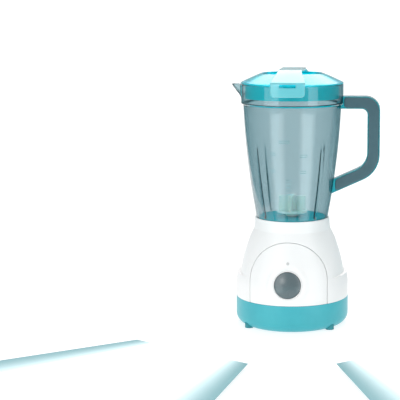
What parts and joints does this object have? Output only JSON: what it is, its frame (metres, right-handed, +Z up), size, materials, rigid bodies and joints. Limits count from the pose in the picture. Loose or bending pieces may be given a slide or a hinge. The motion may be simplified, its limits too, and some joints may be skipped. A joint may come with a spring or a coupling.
{
  "type": "toy blender",
  "caption": "Toy kitchen blender: bell-shaped white base on a teal tray with a round push button, clear tapered jug with spout, two-tone loop handle, strapped lid and a turning impeller.",
  "frame": {"origin": "on the jug's vertical axis, in the plane of the ring that the base stands on", "axes": "+Z up along the jug's axis, front with the button faces -Y, handle points to +X, spout to -X"},
  "size_m": [0.1485, 0.1154, 0.2575],
  "materials": {
    "white_shell": "satin",
    "white_panel": "satin",
    "white_bezel": "gloss",
    "teal_tray": "satin",
    "foot_pad": "matte",
    "screw_steel": "satin",
    "spring_steel": "satin",
    "grey_button": "satin",
    "board_green": "satin",
    "switch_black": "satin",
    "lamp_lens": "gloss",
    "wire_red": "satin",
    "cell_jacket": "satin",
    "contact_steel": "satin",
    "motor_steel": "satin",
    "pinion_brass": "satin",
    "gearbox_white": "satin",
    "gear_nylon": "satin",
    "shaft_steel": "polished",
    "bush_brass": "satin",
    "dog_teal": "satin",
    "clear_blue": "clear gloss",
    "clear_teal_base": "clear gloss",
    "seal_rubber": "matte",
    "mint_impeller": "satin",
    "clear_teal_handle": "clear gloss",
    "slate_cover": "satin",
    "clear_teal_lid": "clear gloss",
    "pale_teal_strap": "gloss"
  },
  "bodies": {
    "base": {"upper_housing": "white_shell", "front_panel": "white_panel", "lower_tray": "teal_tray", "foot_pads": "foot_pad", "housing_screws": "screw_steel", "button_bezel": "white_bezel", "circuit_board": "board_green", "board_screws": "screw_steel", "push_switch": "switch_black", "status_lamp": "lamp_lens", "internal_wires": "wire_red", "battery_cells": "cell_jacket", "battery_contacts": "contact_steel", "motor": "motor_steel", "gearbox_plate": "gearbox_white", "gearbox_cover": "gearbox_white", "gearbox_screws": "screw_steel", "shaft_bush": "bush_brass", "button_spring": "spring_steel"},
    "button": {"button": "grey_button"},
    "battery_door": {"battery_door": "teal_tray", "door_screw": "screw_steel"},
    "rotor": {"motor_pinion": "pinion_brass"},
    "drive": {"drive_gear": "gear_nylon", "drive_shaft": "shaft_steel", "drive_coupling": "dog_teal"},
    "jug": {"jug": "clear_blue", "jug_base": "clear_teal_base", "jug_bush": "bush_brass", "shaft_seal": "seal_rubber", "handle_frame": "clear_teal_handle", "handle_cover_front": "slate_cover", "handle_cover_back": "slate_cover"},
    "impeller": {"impeller": "mint_impeller", "impeller_shaft": "shaft_steel", "driven_coupling": "dog_teal"},
    "lid": {"lid": "clear_teal_lid", "lid_strap": "pale_teal_strap"}
  },
  "joints": [
    {"name": "button_press", "type": "slide", "parent": "base", "child": "button", "axis": [0, 0.9871, -0.1599], "range_m": [0, 0.0025], "stiffness_N_per_m": 300, "deforming": ["button_spring"]},
    {"name": "battery_door_lift", "type": "slide", "parent": "base", "child": "battery_door", "axis": [0, 0, -1], "range_m": [0, 0.03]},
    {"name": "drive_spin", "type": "hinge", "parent": "base", "child": "drive", "pos_m": [0, 0, 0.08], "axis": [0, 0, 1], "continuous": true},
    {"name": "rotor_spin", "type": "hinge", "parent": "base", "child": "rotor", "pos_m": [0, 0.0192, 0.08], "axis": [0, 0, 1], "continuous": true},
    {"name": "jug_lift", "type": "slide", "parent": "base", "child": "jug", "axis": [0, 0, 1], "range_m": [0, 0.06]},
    {"name": "impeller_spin", "type": "hinge", "parent": "jug", "child": "impeller", "pos_m": [0, 0, 0.12], "axis": [0, 0, 1], "continuous": true},
    {"name": "lid_lift", "type": "slide", "parent": "jug", "child": "lid", "axis": [0, 0, 1], "range_m": [0, 0.08]}
  ],
  "couplings": [
    {"joint": "rotor_spin", "follows": "drive_spin", "ratio": -3},
    {"joint": "impeller_spin", "follows": "drive_spin", "ratio": 1}
  ]
}
